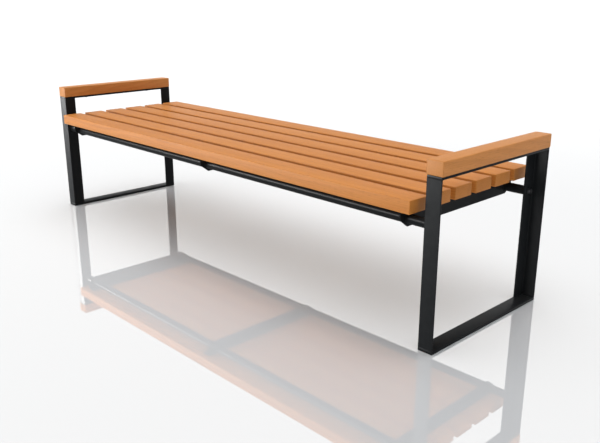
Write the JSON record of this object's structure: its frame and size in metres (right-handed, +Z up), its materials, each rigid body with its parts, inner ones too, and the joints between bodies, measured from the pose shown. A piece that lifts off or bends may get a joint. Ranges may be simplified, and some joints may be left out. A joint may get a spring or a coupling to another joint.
{
  "type": "backless bench",
  "caption": "Backless street bench: slatted wooden seat between two steel angle end frames with flat wooden armrests.",
  "frame": {"origin": "on the floor, under the middle of the slatted seat", "axes": "+X along the bench to its right end, +Y from its front to its back, +Z up"},
  "size_m": [2.176, 0.627, 0.569],
  "materials": {
    "wood": "oiled hardwood, planed smooth, edges lightly rounded",
    "steel": "fine-textured anthracite powder coat, satin",
    "zinc": "zinc plated"
  },
  "bodies": {
    "root": {"left_front_post": "steel", "left_rear_post": "steel", "left_bottom_rail": "steel", "left_top_rail": "steel", "left_armrest": "wood", "left_armrest_screw_front": "zinc", "left_armrest_screw_rear": "zinc", "left_front_tube_plug": "zinc", "left_front_tube_washer": "zinc", "left_front_tube_bolt": "zinc", "left_rear_tube_plug": "zinc", "left_rear_tube_washer": "zinc", "left_rear_tube_bolt": "zinc", "right_front_post": "steel", "right_rear_post": "steel", "right_bottom_rail": "steel", "right_top_rail": "steel", "right_armrest": "wood", "right_armrest_screw_front": "zinc", "right_armrest_screw_rear": "zinc", "right_front_tube_plug": "zinc", "right_front_tube_washer": "zinc", "right_front_tube_bolt": "zinc", "right_rear_tube_plug": "zinc", "right_rear_tube_washer": "zinc", "right_rear_tube_bolt": "zinc", "front_tube": "steel", "rear_tube": "steel", "left_cross_member": "steel", "middle_cross_member": "steel", "right_cross_member": "steel", "slat_1_front": "wood", "slat_2": "wood", "slat_3": "wood", "slat_4": "wood", "slat_5": "wood", "slat_6_rear": "wood", "left_slat_screw_1": "zinc", "left_slat_screw_2": "zinc", "left_slat_screw_3": "zinc", "left_slat_screw_4": "zinc", "left_slat_screw_5": "zinc", "left_slat_screw_6": "zinc", "middle_slat_screw_1": "zinc", "middle_slat_screw_2": "zinc", "middle_slat_screw_3": "zinc", "middle_slat_screw_4": "zinc", "middle_slat_screw_5": "zinc", "middle_slat_screw_6": "zinc", "right_slat_screw_1": "zinc", "right_slat_screw_2": "zinc", "right_slat_screw_3": "zinc", "right_slat_screw_4": "zinc", "right_slat_screw_5": "zinc", "right_slat_screw_6": "zinc"}
  },
  "joints": []
}
